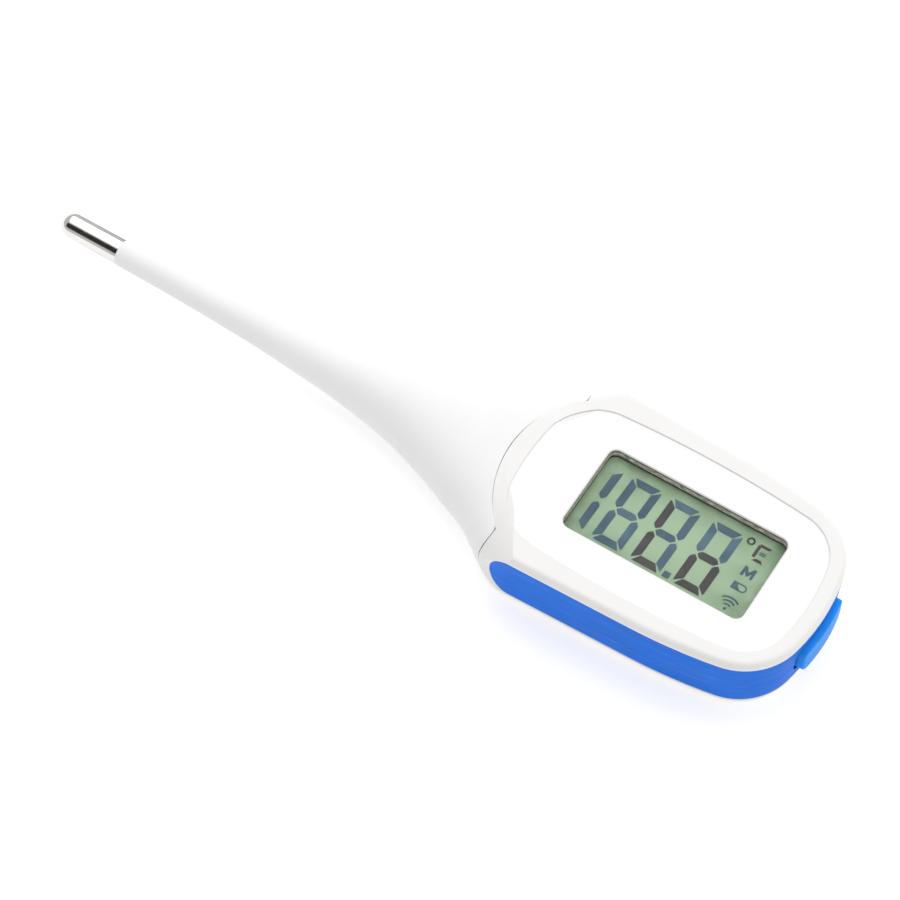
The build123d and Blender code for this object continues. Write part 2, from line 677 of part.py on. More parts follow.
# Rubber strips that carry the display's signals up from the board
with BuildPart() as contact_strips:
    with BuildSketch(Plane.XY.offset(BOARD_TOP_Z)):
        with Locations((DISPLAY_X, 8.8), (DISPLAY_X, -8.8)):
            Rectangle(GLASS_LENGTH - 4, 1.8)
    extrude(amount=GLASS_LOW_Z - BOARD_TOP_Z)
finish(contact_strips, "contact_strips")

# ---- stem ------------------------------------------------------------------------------
def hinge_gap(x):
    """Room between two links, so that their rims stay apart at the full turn."""
    return 0.3 + stem_radius(x) * tan(radians(HINGE_TURN))


STEM_PLANE = Plane(origin=(0, 0, MID_Z), x_dir=(1, 0, 0), z_dir=(0, -1, 0))
STEM_AXIS = Axis((0, 0, MID_Z), (1, 0, 0))
PLUG_END_X = 22.2
with BuildPart() as stem_root:
    loft(section_faces(STEM_SECTIONS))
    with Locations((-SEAM_GAP, 0, 0)):
        add(housing_zone.part, mode=Mode.SUBTRACT)
    with BuildSketch(Plane.YZ.offset(NOSE_X - 2)):
        with Locations((0, MID_Z)):
            Rectangle(PLUG_WIDTH, PLUG_HEIGHT)
    extrude(amount=PLUG_END_X - NOSE_X + 2)
    with BuildSketch(Plane.YZ.offset(POCKET_X + 0.2)):
        with Locations((0, MID_Z)):
            Rectangle(PLUG_WIDTH + 2.4, PLUG_HEIGHT + 1.6)
    extrude(amount=1.4)
    with BuildSketch(Plane.YZ.offset(HINGE_X[0])):
        with Locations((0, MID_Z)):
            Circle(WIRE_BORE)
    extrude(amount=PLUG_END_X - HINGE_X[0], mode=Mode.SUBTRACT)
finish(stem_root, "stem_root")

with BuildPart() as stem_retainer:
    with BuildSketch(Plane.YZ.offset(POCKET_X + 1.8)):
        with Locations((0, MID_Z)):
            Rectangle(21.6, 9.6)
            Rectangle(PLUG_WIDTH + 0.1, PLUG_HEIGHT + 0.1, mode=Mode.SUBTRACT)
    extrude(amount=1.4)
finish(stem_retainer, "stem_retainer")

# The bending length, as short rigid links in a row
for i, (near_x, far_x) in enumerate(zip(HINGE_X, HINGE_X[1:]), start=1):
    start_x = near_x - hinge_gap(near_x) / 2
    end_x = far_x + hinge_gap(far_x) / 2
    with BuildPart() as stem_link:
        with BuildSketch(STEM_PLANE):
            with BuildLine():
                Polyline((start_x, WIRE_BORE), (start_x, stem_radius(start_x)), (end_x, stem_radius(end_x)),
                         (end_x, WIRE_BORE), close=True)
            make_face()
        revolve(axis=STEM_AXIS)
    finish(stem_link, f"stem_link_{i}")

SPIGOT_RADIUS = CAP_RADIUS - CAP_WALL
SPIGOT_END_X = -66.0
TIP_START_X = HINGE_X[-1] - hinge_gap(HINGE_X[-1]) / 2
with BuildPart() as stem_tip:
    with BuildSketch(STEM_PLANE):
        with BuildLine():
            Polyline((TIP_START_X, WIRE_BORE), (TIP_START_X, stem_radius(TIP_START_X)),
                     (CAP_REAR_X, stem_radius(CAP_REAR_X)), (CAP_REAR_X, SPIGOT_RADIUS),
                     (SPIGOT_END_X, SPIGOT_RADIUS), (SPIGOT_END_X, WIRE_BORE), close=True)
        make_face()
    revolve(axis=STEM_AXIS)
finish(stem_tip, "stem_tip")

# ---- probe cap and what is sealed into it ------------------------------------------------
CAP_DOME_X = CAP_END_X + CAP_RADIUS
with BuildPart() as probe_cap:
    with BuildSketch(STEM_PLANE):
        with BuildLine():
            Line((CAP_REAR_X, SPIGOT_RADIUS), (CAP_REAR_X, CAP_RADIUS))
            Line((CAP_REAR_X, CAP_RADIUS), (CAP_DOME_X, CAP_RADIUS))
            CenterArc((CAP_DOME_X, 0), CAP_RADIUS, 90, 90)
            Line((CAP_END_X, 0), (CAP_END_X + CAP_WALL, 0))
            CenterArc((CAP_DOME_X, 0), SPIGOT_RADIUS, 90, 90)
            Line((CAP_DOME_X, SPIGOT_RADIUS), (CAP_REAR_X, SPIGOT_RADIUS))
        make_face()
    revolve(axis=STEM_AXIS)
finish(probe_cap, "probe_cap")

BEAD_X = -70.6
BEAD_LENGTH = 1.8
with BuildPart() as thermistor:
    with BuildSketch(Plane.YZ.offset(BEAD_X)):
        with Locations((0, MID_Z)):
            Circle(0.75)
    extrude(amount=BEAD_LENGTH)
    fillet(thermistor.edges().filter_by(GeomType.CIRCLE), 0.4)
finish(thermistor, "thermistor")

WIRE_RADIUS = 0.15
WIRE_SPACING = 0.8
WIRE_END_X = 27.2
with BuildPart() as thermistor_wires:
    with BuildSketch(Plane.YZ.offset(BEAD_X + BEAD_LENGTH)):
        with Locations((WIRE_SPACING / 2, MID_Z), (-WIRE_SPACING / 2, MID_Z)):
            Circle(WIRE_RADIUS)
    extrude(amount=WIRE_END_X - BEAD_X - BEAD_LENGTH)
finish(thermistor_wires, "thermistor_wires")

with BuildPart() as cap_epoxy:
    with BuildSketch(STEM_PLANE):
        with BuildLine():
            Line((SPIGOT_END_X, 0), (SPIGOT_END_X, SPIGOT_RADIUS))
            Line((SPIGOT_END_X, SPIGOT_RADIUS), (CAP_DOME_X, SPIGOT_RADIUS))
            CenterArc((CAP_DOME_X, 0), SPIGOT_RADIUS, 90, 90)
            Line((CAP_END_X + CAP_WALL, 0), (SPIGOT_END_X, 0))
        make_face()
    revolve(axis=STEM_AXIS)
    add(thermistor.part, mode=Mode.SUBTRACT)
    add(thermistor_wires.part, mode=Mode.SUBTRACT)
finish(cap_epoxy, "cap_epoxy")

with BuildPart() as solder_joints:
    with BuildSketch(Plane.XY.offset(BOARD_TOP_Z)):
        with Locations((WIRE_END_X - 0.8, WIRE_SPACING / 2), (WIRE_END_X - 0.8, -WIRE_SPACING / 2)):
            Rectangle(1.4, 0.6)
    extrude(amount=0.5, taper=12)
    add(thermistor_wires.part, mode=Mode.SUBTRACT)
finish(solder_joints, "solder_joints")
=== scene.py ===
import json
import math

import bpy
import numpy as np
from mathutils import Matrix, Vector


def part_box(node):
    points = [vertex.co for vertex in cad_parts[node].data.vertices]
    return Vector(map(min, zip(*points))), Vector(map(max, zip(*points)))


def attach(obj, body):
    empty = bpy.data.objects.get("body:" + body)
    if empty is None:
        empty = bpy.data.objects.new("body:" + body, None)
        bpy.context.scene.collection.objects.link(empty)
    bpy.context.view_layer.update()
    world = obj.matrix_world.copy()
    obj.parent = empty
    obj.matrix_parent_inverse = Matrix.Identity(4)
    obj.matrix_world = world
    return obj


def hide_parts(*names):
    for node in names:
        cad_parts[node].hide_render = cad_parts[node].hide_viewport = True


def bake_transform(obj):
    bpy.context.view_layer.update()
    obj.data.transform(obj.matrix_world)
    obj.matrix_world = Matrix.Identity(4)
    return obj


# The looks of a digital thermometer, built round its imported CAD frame.
# Lengths are in millimetres, and MM turns them into Blender's metres. X runs along the stem
# towards the button, Z out through the display.
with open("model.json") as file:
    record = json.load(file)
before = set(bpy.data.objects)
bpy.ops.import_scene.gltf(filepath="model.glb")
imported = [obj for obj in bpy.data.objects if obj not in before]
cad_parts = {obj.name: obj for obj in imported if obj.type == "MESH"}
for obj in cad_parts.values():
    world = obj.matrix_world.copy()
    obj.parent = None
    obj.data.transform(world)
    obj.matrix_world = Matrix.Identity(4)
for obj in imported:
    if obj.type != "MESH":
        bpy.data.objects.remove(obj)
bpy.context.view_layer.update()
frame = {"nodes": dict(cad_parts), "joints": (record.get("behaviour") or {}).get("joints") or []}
NODES = frame["nodes"]
MM = 0.001

# ---- sizes that repeat the CAD model's ---------------------------------------------------
TOP_Z = 13.5
PANEL_Z = 13.25
MID_Z = 6.75
SIDE_SLOPE = math.tan(math.radians(2.2))
TONGUE_RADIUS = 19.5
TONGUE_TIP_X = 15.4
SEAM_X = 21.7
SEAM_MID_X = 19.9
SEAM_GAP = 0.13
SHOULDER_X = 25.0
SHOULDER_RADIUS = 14.0
SHOULDER_HALF_WIDTH = 17.96
CAP_REAR_X = -60.0
WIRE_BORE = 0.85
PLUG_SIZE = (17.6, 7.6)
PLUG_CORNER = 0.6
FLANGE_SIZE = (20.0, 9.2)
FLANGE_START_X = 18.4
FLANGE_END_X = 19.8
PLUG_END_X = 22.2
SPIGOT_RADIUS = 1.94
SPIGOT_END_X = -66.0
WIRE_RADIUS = 0.15
WIRE_OFFSET = 0.4
HINGES = [joint["pos_m"][0] / MM for joint in frame["joints"] if joint["name"].startswith("stem_")]
HINGES.sort(reverse=True)
HALF_LINK = 3.5
HINGE_COUNT = len(HINGES)
WINDOW_LOW, WINDOW_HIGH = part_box("display_lens")
FACE_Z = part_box("lcd_polariser")[1].z / MM

# How finely the stem's skin and the wires are divided
RING_PITCH = 0.7
ROOT_RINGS = 64
WIRE_PITCH = 0.9
WIRE_SIDES = 10

# The stem's half width and half height along its length
STEM_WIDTH = [(-60.4, 2.28), (-52, 2.4), (-45, 2.55), (-38, 2.8), (-31, 3.12), (-24, 3.65), (-17, 4.25),
              (-10, 5.2), (-3.8, 6.45), (3.6, 8.75), (9.8, 11.2), (14.2, 13.1), (17.2, 15.2), (19.5, 16.83),
              (21.7, 17.57)]
STEM_HEIGHT = [(-60.4, 2.28), (-52, 2.4), (-45, 2.55), (-38, 2.8), (-31, 3.12), (-24, 3.65), (-17, 4.25),
               (-10, 5.2), (-3.8, 5.9), (3.6, 6.35), (9.8, 6.55), (15, 6.65), (22, 6.73)]

# Exponent of its section's superellipse, above and below the middle: 2 is an ellipse
SQUARENESS_ABOVE = [(-8, 2.0), (3.6, 2.05), (9.8, 2.15), (15, 2.4), (19, 2.8), (22, 3.2)]
SQUARENESS_BELOW = [(-8, 2.0), (3.6, 2.3), (9.8, 2.6), (15, 3.0), (19, 3.6), (22, 4.5)]


# ---- small helpers -----------------------------------------------------------------------
def smoothstep(value, low, high):
    """0 below low, 1 above high, and an even ease between them."""
    t = min(max((value - low) / (high - low), 0.0), 1.0)
    return t * t * (3 - 2 * t)


def read_table(table, x):
    """A smooth monotone curve through the rows of a table, read at x."""
    xs = [row[0] for row in table]
    ys = [row[1] for row in table]
    slopes = [(y1 - y0) / (x1 - x0) for x0, x1, y0, y1 in zip(xs, xs[1:], ys, ys[1:])]
    tangents = [slopes[0]]
    for s0, s1 in zip(slopes, slopes[1:]):
        tangents.append(0.0 if s0 * s1 <= 0 else 2 * s0 * s1 / (s0 + s1))
    tangents.append(slopes[-1])
    x = min(max(x, xs[0]), xs[-1])
    i = min(max(j for j, xj in enumerate(xs) if xj <= x), len(xs) - 2)
    h = xs[i + 1] - xs[i]
    t = (x - xs[i]) / h
    rise = (2 * t**3 - 3 * t**2 + 1) * ys[i] + (t**3 - 2 * t**2 + t) * h * tangents[i]
    return rise + (-2 * t**3 + 3 * t**2) * ys[i + 1] + (t**3 - t**2) * h * tangents[i + 1]


def mesh_object(name, points, faces, normals=None, smooth=True):
    """A mesh object from points in millimetres, with its own vertex normals where they are given."""
    mesh = bpy.data.meshes.new(name)
    mesh.from_pydata([tuple(c * MM for c in p) for p in points], [], faces)
    mesh.update()
    for face in mesh.polygons:
        face.use_smooth = smooth
    if normals is not None:
        mesh.normals_split_custom_set_from_vertices([tuple(n) for n in normals])
    piece = bpy.data.objects.new(name, mesh)
    bpy.context.scene.collection.objects.link(piece)
    return piece


def dress(piece, material):
    """Gives a piece its material."""
    piece.data.materials.append(material)


# ---- materials ---------------------------------------------------------------------------
class Surface:
    """A node material: a Principled shader, with helpers that hang procedural detail on it."""

    def __init__(self, name, color, roughness, metallic=0.0, specular=0.5, alpha=1.0):
        self.material = bpy.data.materials.new(name)
        self.material.use_nodes = True
        self.material.diffuse_color = (*color, alpha)
        self.tree = self.material.node_tree
        self.shader = self.tree.nodes["Principled BSDF"]
        self.color = color
        self.set("Base Color", (*color, 1.0))
        self.set("Roughness", roughness)
        self.set("Metallic", metallic)
        self.set("Specular IOR Level", specular)
        self.set("Alpha", alpha)
        self.place = self.node("ShaderNodeTexCoord").outputs["Object"]

    def node(self, kind, **values):
        node = self.tree.nodes.new(kind)
        for name, value in values.items():
            setattr(node, name, value)
        return node

    def link(self, source, target):
        self.tree.links.new(source, target)

    def set(self, socket, value):
        self.shader.inputs[socket].default_value = value

    def noise(self, size, detail=2.0, stretch=(1.0, 1.0, 1.0), seed=0.0):
        """Noise whose lumps are size millimetres across, drawn out by stretch."""
        mapping = self.node("ShaderNodeMapping")
        mapping.inputs["Scale"].default_value = [1.0 / s for s in stretch]
        mapping.inputs["Location"].default_value = (seed, seed, seed)
        self.link(self.place, mapping.inputs["Vector"])
        noise = self.node("ShaderNodeTexNoise")
        noise.inputs["Scale"].default_value = 1.0 / (size * MM)
        noise.inputs["Detail"].default_value = detail
        self.link(mapping.outputs["Vector"], noise.inputs["Vector"])
        return noise.outputs["Fac"]

    def remap(self, value, low, high, to_low, to_high):
        remap = self.node("ShaderNodeMapRange")
        for name, number in (("From Min", low), ("From Max", high), ("To Min", to_low), ("To Max", to_high)):
            remap.inputs[name].default_value = number
        self.link(value, remap.inputs["Value"])
        return remap.outputs["Result"]

    def mix_color(self, factor, color):
        """Lays a colour over what the base colour is so far, by a factor."""
        mix = self.node("ShaderNodeMix", data_type="RGBA")
        base = self.shader.inputs["Base Color"]
        if base.is_linked:
            self.link(base.links[0].from_socket, mix.inputs["A"])
        else:
            mix.inputs["A"].default_value = base.default_value
        mix.inputs["B"].default_value = (*color, 1.0)
        self.link(factor, mix.inputs["Factor"])
        self.link(mix.outputs["Result"], base)

    def mottle(self, amount, size, stretch=(1.0, 1.0, 1.0)):
        """Slow variation of the colour, towards a darker shade."""
        darker = tuple(c * (1 - amount) for c in self.color)
        self.mix_color(self.remap(self.noise(size, 3.0, stretch), 0.35, 0.65, 0.0, 1.0), darker)

    def polish(self, low, high, size, stretch=(1.0, 1.0, 1.0)):
        """Roughness that wanders between two values."""
        wander = self.remap(self.noise(size, 3.0, stretch, 0.7), 0.3, 0.7, low, high)
        self.link(wander, self.shader.inputs["Roughness"])

    def grain(self, size, depth, strength=0.5, stretch=(1.0, 1.0, 1.0), detail=2.0):
        """Fine relief, depth millimetres deep."""
        bump = self.node("ShaderNodeBump")
        bump.inputs["Strength"].default_value = strength
        bump.inputs["Distance"].default_value = depth * MM
        self.link(self.noise(size, detail, stretch, 0.3), bump.inputs["Height"])
        normal = self.shader.inputs["Normal"]
        if normal.is_linked:
            self.link(normal.links[0].from_socket, bump.inputs["Normal"])
        self.link(bump.outputs["Normal"], normal)


def white_plastic():
    """White ABS with a fine satin texture. The recessed panel round the display is a shade brighter."""
    surface = Surface("white_plastic", (0.80, 0.80, 0.793), 0.36, specular=0.4)
    surface.mottle(0.015, 9.0)
    surface.polish(0.30, 0.42, 4.0)
    height = surface.node("ShaderNodeSeparateXYZ")
    surface.link(surface.place, height.inputs["Vector"])
    facing = surface.node("ShaderNodeSeparateXYZ")
    surface.link(surface.node("ShaderNodeNewGeometry").outputs["Normal"], facing.inputs["Vector"])
    below_rim = surface.remap(height.outputs["Z"], (PANEL_Z + 0.02) * MM, (PANEL_Z + 0.1) * MM, 1.0, 0.0)
    level = surface.remap(facing.outputs["Z"], 0.985, 0.998, 0.0, 1.0)
    above = surface.remap(height.outputs["Z"], (PANEL_Z - 0.1) * MM, (PANEL_Z - 0.02) * MM, 0.0, 1.0)
    panel = surface.node("ShaderNodeMath", operation="MULTIPLY")
    surface.link(below_rim, panel.inputs[0])
    surface.link(level, panel.inputs[1])
    face = surface.node("ShaderNodeMath", operation="MULTIPLY")
    surface.link(panel.outputs[0], face.inputs[0])
    surface.link(above, face.inputs[1])
    surface.mix_color(face.outputs[0], (0.86, 0.86, 0.86))
    surface.grain(0.22, 0.012, 0.35)
    return surface.material


def stem_rubber():
    """White elastomer, more matte than the housing."""
    surface = Surface("stem_rubber", (0.84, 0.84, 0.845), 0.55, specular=0.3)
    surface.mottle(0.015, 6.0)
    surface.polish(0.48, 0.62, 3.0)
    surface.grain(0.3, 0.02, 0.4, detail=4.0)
    return surface.material


def scratched_blue(name, color, scratches):
    """Blue plastic with fine rubbed lines along its length."""
    surface = Surface(name, color, 0.45, specular=0.08)
    surface.mottle(0.10, 7.0)
    pale = tuple(min(1.0, c * 0.55 + 0.35) for c in color)
    for size, floor, amount in scratches:
        lines = surface.noise(size, 2.0, (60.0, 60.0, 1.0), size)
        surface.mix_color(surface.remap(lines, floor, floor + 0.06, 0.0, amount), pale)
    surface.polish(0.34, 0.50, 2.0, (8.0, 8.0, 1.0))
    surface.grain(0.12, 0.012, 0.4, (20.0, 20.0, 1.0))
    surface.grain(0.25, 0.012, 0.3)
    return surface.material


def polished_steel():
    """Drawn steel with faint turning marks round its axis."""
    surface = Surface("cap_steel", (0.78, 0.77, 0.75), 0.12, metallic=1.0)
    surface.mottle(0.06, 2.0)
    surface.polish(0.08, 0.18, 1.2)
    surface.grain(0.09, 0.003, 0.25, (1.0, 30.0, 30.0))
    return surface.material


def pitted_metal():
    """Bright stamped sheet, pitted, with painted shadow darkening it in bands along its top and its foot."""
    surface = Surface("frame_metal", (0.98, 0.92, 0.85), 0.22, metallic=0.1)
    surface.mottle(0.7, 0.4, (2.5, 1.0, 1.0))
    height = surface.node("ShaderNodeSeparateXYZ")
    surface.link(surface.place, height.inputs["Vector"])
    # Painted shadow: near-black bands at the sheet's top, under the shell's lip, and at its foot, by the
    # display face.
    for edge, inner in ((FACE_Z + 0.35, FACE_Z + 0.7), (FACE_Z + 1.75, FACE_Z + 1.35)):
        shade = surface.remap(height.outputs["Z"], edge * MM, inner * MM, 1.0, 0.0)
        surface.mix_color(shade, (0.06, 0.05, 0.04))
    surface.polish(0.10, 0.45, 0.5)
    surface.grain(0.5, 0.2, 0.8, (1.8, 1.0, 1.0), 3.0)
    return surface.material


def display_face():
    """Grey-green liquid-crystal face, with painted shade darkening it towards its edges, where the window's
    walls shade it.
    """
    surface = Surface("lcd_face", (0.355, 0.495, 0.33), 0.34, specular=0.2)
    centre = (WINDOW_LOW + WINDOW_HIGH) / 2
    half = (WINDOW_HIGH - WINDOW_LOW) / 2
    split = surface.node("ShaderNodeSeparateXYZ")
    surface.link(surface.place, split.inputs["Vector"])
    for axis, middle, reach in (("X", centre.x, half.x), ("Y", centre.y, half.y)):
        away = surface.node("ShaderNodeMath", operation="SUBTRACT")
        away.inputs[1].default_value = middle
        surface.link(split.outputs[axis], away.inputs[0])
        distance = surface.node("ShaderNodeMath", operation="ABSOLUTE")
        surface.link(away.outputs[0], distance.inputs[0])
        # Painted shade: the face darkens towards each edge of the window, as the walls shade it.
        edge = surface.remap(distance.outputs[0], reach * 0.3, reach, 0.0, 0.7)
        surface.mix_color(edge, (0.17, 0.27, 0.16))
    surface.mottle(0.05, 3.0)
    surface.grain(0.08, 0.004, 0.3)
    return surface.material


def clear_lens():
    """Thin clear acrylic window."""
    surface = Surface("clear_lens", (0.95, 0.98, 0.96), 0.04, alpha=0.08)
    surface.set("Transmission Weight", 1.0)
    surface.polish(0.02, 0.06, 3.0)
    return surface.material


def segment_ink(name, dark, pale):
    """A display segment's ink, with a slow drift between two shades."""
    surface = Surface(name, dark, 0.4, specular=0.3)
    surface.mix_color(surface.remap(surface.noise(2.4, 2.0), 0.38, 0.64, 0.0, 1.0), pale)
    surface.grain(0.06, 0.003, 0.2)
    return surface.material


def plain_part(name, color, roughness, metallic=0.0, stretch=(1.0, 1.0, 1.0), grain=0.01):
    """A material for small inner parts: mottled colour, wandering polish and fine grain."""
    surface = Surface(name, color, roughness, metallic)
    surface.mottle(0.12, 1.5, stretch)
    surface.polish(roughness * 0.8, min(1.0, roughness * 1.2), 1.0, stretch)
    surface.grain(0.15, grain, 0.4, stretch)
    return surface.material


WHITE = white_plastic()
RUBBER = stem_rubber()
BAND_BLUE = (0.003, 0.165, 0.77)
BUTTON_BLUE = (0.02, 0.30, 0.91)
STEEL = plain_part("zinc_steel", (0.62, 0.63, 0.65), 0.3, 1.0)
RESIN = plain_part("black_resin", (0.02, 0.02, 0.022), 0.5)
SEAL = plain_part("seal_rubber", (0.20, 0.21, 0.23), 0.7)
CONTACT = plain_part("contact_metal", (0.75, 0.73, 0.68), 0.25, 1.0, (6.0, 1.0, 1.0))
CERAMIC = plain_part("ceramic", (0.78, 0.70, 0.56), 0.55)
SWITCH = plain_part("switch_black", (0.03, 0.03, 0.035), 0.45)
WIRE = plain_part("wire_red", (0.55, 0.06, 0.04), 0.4)
NODE_MATERIALS = {
    "top_shell": WHITE,
    "bottom_shell": WHITE,
    "battery_door": WHITE,
    "stem_retainer": WHITE,
    "side_band": scratched_blue("band_blue", BAND_BLUE, [(0.16, 0.66, 0.35), (0.34, 0.66, 0.2)]),
    "power_button": scratched_blue("button_blue", BUTTON_BLUE, [(0.2, 0.7, 0.15)]),
    "housing_seal": SEAL,
    "door_seal": SEAL,
    "housing_screws": STEEL,
    "crystal": STEEL,
    "display_lens": clear_lens(),
    "lcd_frame": pitted_metal(),
    "lcd_glass": plain_part("lcd_glass", (0.55, 0.66, 0.56), 0.12),
    "lcd_polariser": display_face(),
    "contact_strips": plain_part("strip_rubber", (0.75, 0.42, 0.46), 0.6, 0.0, (1.0, 8.0, 8.0)),
    "main_board": plain_part("board_green", (0.02, 0.17, 0.06), 0.3),
    "controller_chip": RESIN,
    "radio_chip": RESIN,
    "chip_components": CERAMIC,
    "sounder_ceramic": CERAMIC,
    "sounder_disc": plain_part("brass", (0.80, 0.60, 0.25), 0.25, 1.0),
    "solder_joints": plain_part("solder", (0.72, 0.72, 0.73), 0.2, 1.0),
    "battery": plain_part("battery_can", (0.70, 0.70, 0.69), 0.22, 1.0, (8.0, 1.0, 1.0)),
    "positive_contact": CONTACT,
    "negative_contact": CONTACT,
    "switch_body": SWITCH,
    "switch_plunger": SWITCH,
    "probe_cap": polished_steel(),
    "cap_epoxy": plain_part("epoxy", (0.75, 0.62, 0.30), 0.35),
    "thermistor": plain_part("bead_glaze", (0.10, 0.07, 0.05), 0.25),
}


def paint_nodes():
    """Gives every CAD node that stays visible its material, and the replaced ones that of the pieces that
    replace them.
    """
    for name, node in NODES.items():
        material = NODE_MATERIALS.get(name, WIRE if name == "thermistor_wires" else RUBBER)
        if not node.material_slots:
            node.data.materials.append(material)
        for slot in node.material_slots:
            slot.material = material


# ---- stem skin -----------------------------------------------------------------------------
def half_width(x):
    if x <= SEAM_X:
        return read_table(STEM_WIDTH, x)
    arc_x = min(x, SHOULDER_X) - SHOULDER_X
    return SHOULDER_HALF_WIDTH - SHOULDER_RADIUS + math.sqrt(SHOULDER_RADIUS**2 - arc_x**2)


def box_reach(width, height, corner, c, s):
    """How far along the ray (width * c, height * s) a rounded rectangle's edge is."""
    c, s = abs(c), abs(s)
    reach = 1.0 / max(c, s)
    inner_y, inner_z = width - corner, height - corner
    dy, dz = width * c, height * s
    if reach * dy > inner_y and reach * dz > inner_z:
        along = dy * inner_y + dz * inner_z
        square = dy * dy + dz * dz
        reach = (along + math.sqrt(along**2 - square * (inner_y**2 + inner_z**2 - corner**2))) / square
    return reach


def stem_point(x, angle):
    """The (y, z) of the stem's surface at x, on the ray at an angle round its axis."""
    width, height = half_width(x), read_table(STEM_HEIGHT, x)
    c, s = math.cos(angle), math.sin(angle)
    power = read_table(SQUARENESS_ABOVE if s > 0 else SQUARENESS_BELOW, x)
    reach = (abs(c) ** power + abs(s) ** power) ** (-1 / power)
    y, z = width * c * reach, MID_Z + height * s * reach
    return y * (1 - smoothstep(x, 8, 21) * SIDE_SLOPE * (TOP_Z - z) / width), z


RIDGE = 0.12
RIDGE_HEIGHT = 0.035
PER_SIDE = 64


def ring_angles(x):
    """Angles round the section: even, denser at the corners, with a few each side of the mould line."""
    step = RIDGE / read_table(STEM_HEIGHT, x)
    flank = [2 * step, step, 0.5 * step, 0.0, -0.5 * step, -step, -2 * step]
    angles, lifts = [], []
    for side in (0.0, math.pi):
        for offset, lift in zip(reversed(flank), (0, 0, 0.5, 1, 0.5, 0, 0)):
            angles.append(side + offset)
            lifts.append(lift)
        first, last = side + 2 * step, side + math.pi - 2 * step
        for i in range(1, PER_SIDE):
            share = i / PER_SIDE
            share -= 0.13 * math.sin(4 * math.pi * share) / math.pi * smoothstep(x, -5, 15)
            angles.append(first + (last - first) * share)
            lifts.append(0)
    return angles, lifts


def seam_x(y, z):
    """Where the housing starts, at a point of the stem's section."""
    tongue = SEAM_X
    if abs(y) < TONGUE_RADIUS:
        tongue = min(SEAM_X, TONGUE_TIP_X + TONGUE_RADIUS - math.sqrt(TONGUE_RADIUS**2 - y * y))
    side = SEAM_X - (SEAM_X - SEAM_MID_X) * (1 - ((z - MID_Z) / MID_Z) ** 2)
    return min(tongue, side)


def seam_end(angle):
    """The stem's last x along one line of its surface."""
    x = SEAM_X
    for _ in range(60):
        x = 0.6 * x + 0.4 * (seam_x(*stem_point(x, angle)) - SEAM_GAP)
    return x


def surface_point(x, k, inset=0.0):
    """Point k of the section at x, in row millimetres, moved in by inset."""
    angles, lifts = ring_angles(x)
    y, z = stem_point(x, angles[k])
    out = math.hypot(y, z - MID_Z)
    factor = 1 + (RIDGE_HEIGHT * lifts[k] - inset) / out
    return (x, y * factor, MID_Z + (z - MID_Z) * factor)


def outline_ring(x, size, corner, angles):
    """A ring on a rounded rectangle or a circle, at the same angles as the skin."""
    width, height = size[0] / 2, size[1] / 2
    ring = []
    for angle in angles:
        c, s = math.cos(angle), math.sin(angle)
        reach = box_reach(width, height, corner, c, s)
        ring.append((x, width * c * reach, MID_Z + height * s * reach))
    return ring


def bore_ring(x, angles):
    return [(x, WIRE_BORE * math.cos(a), MID_Z + WIRE_BORE * math.sin(a)) for a in angles]


def grid_normals(rings):
    """Vertex normals of a grid of rings, from the slopes of the whole grid."""
    grid = np.array(rings)
    along = np.gradient(grid, axis=0)
    around = np.roll(grid, -1, axis=1) - np.roll(grid, 1, axis=1)
    normals = np.cross(around, along)
    return normals / np.maximum(np.linalg.norm(normals, axis=2, keepdims=True), 1e-12)


def closed_tube(name, rings, normals):
    """A closed solid from rings that run out along its skin and back along its bore."""
    count, around = len(rings), len(rings[0])
    points = [p for ring in rings for p in ring]
    faces = []
    for i in range(count):
        j = (i + 1) % count
        for k in range(around):
            n = (k + 1) % around
            faces.append((i * around + k, i * around + n, j * around + n, j * around + k))
    return mesh_object(name, points, faces, normals)


def x_steps(start, end, pitch):
    count = max(1, round(abs(end - start) / pitch))
    return [start + (end - start) * i / count for i in range(count + 1)]


def stem_rings():
    """The outer skin as one grid, from the probe cap to the housing, and where its pieces meet."""
    borders = [HINGES[0] + HALF_LINK] + [h - HALF_LINK for h in HINGES]
    around = len(ring_angles(0)[0])
    rings = [[surface_point(CAP_REAR_X, k, inset) for k in range(around)] for inset in (0.3, 0.12)]
    rings.append([surface_point(CAP_REAR_X + 0.04, k, 0.03) for k in range(around)])
    rings += [[surface_point(x, k) for k in range(around)]
              for x in x_steps(CAP_REAR_X + 0.15, borders[-1], RING_PITCH)]
    marks = [len(rings) - 1]
    for near, far in zip(borders[::-1], borders[-2::-1]):
        rings += [[surface_point(x, k) for k in range(around)]
                  for x in x_steps(near, far, RING_PITCH)[1:]]
        marks.append(len(rings) - 1)
    start = borders[0]
    ends = [seam_end(angle) for angle in ring_angles(SEAM_X)[0]]
    for i in range(1, ROOT_RINGS + 1):
        rings.append([surface_point(start + (ends[k] - 0.15 - start) * i / ROOT_RINGS, k)
                      for k in range(around)])
    for back, inset in ((0.05, 0.03), (0.0, 0.12), (0.0, 0.8)):
        rings.append([surface_point(ends[k] - back, k, inset) for k in range(around)])
    return rings, marks


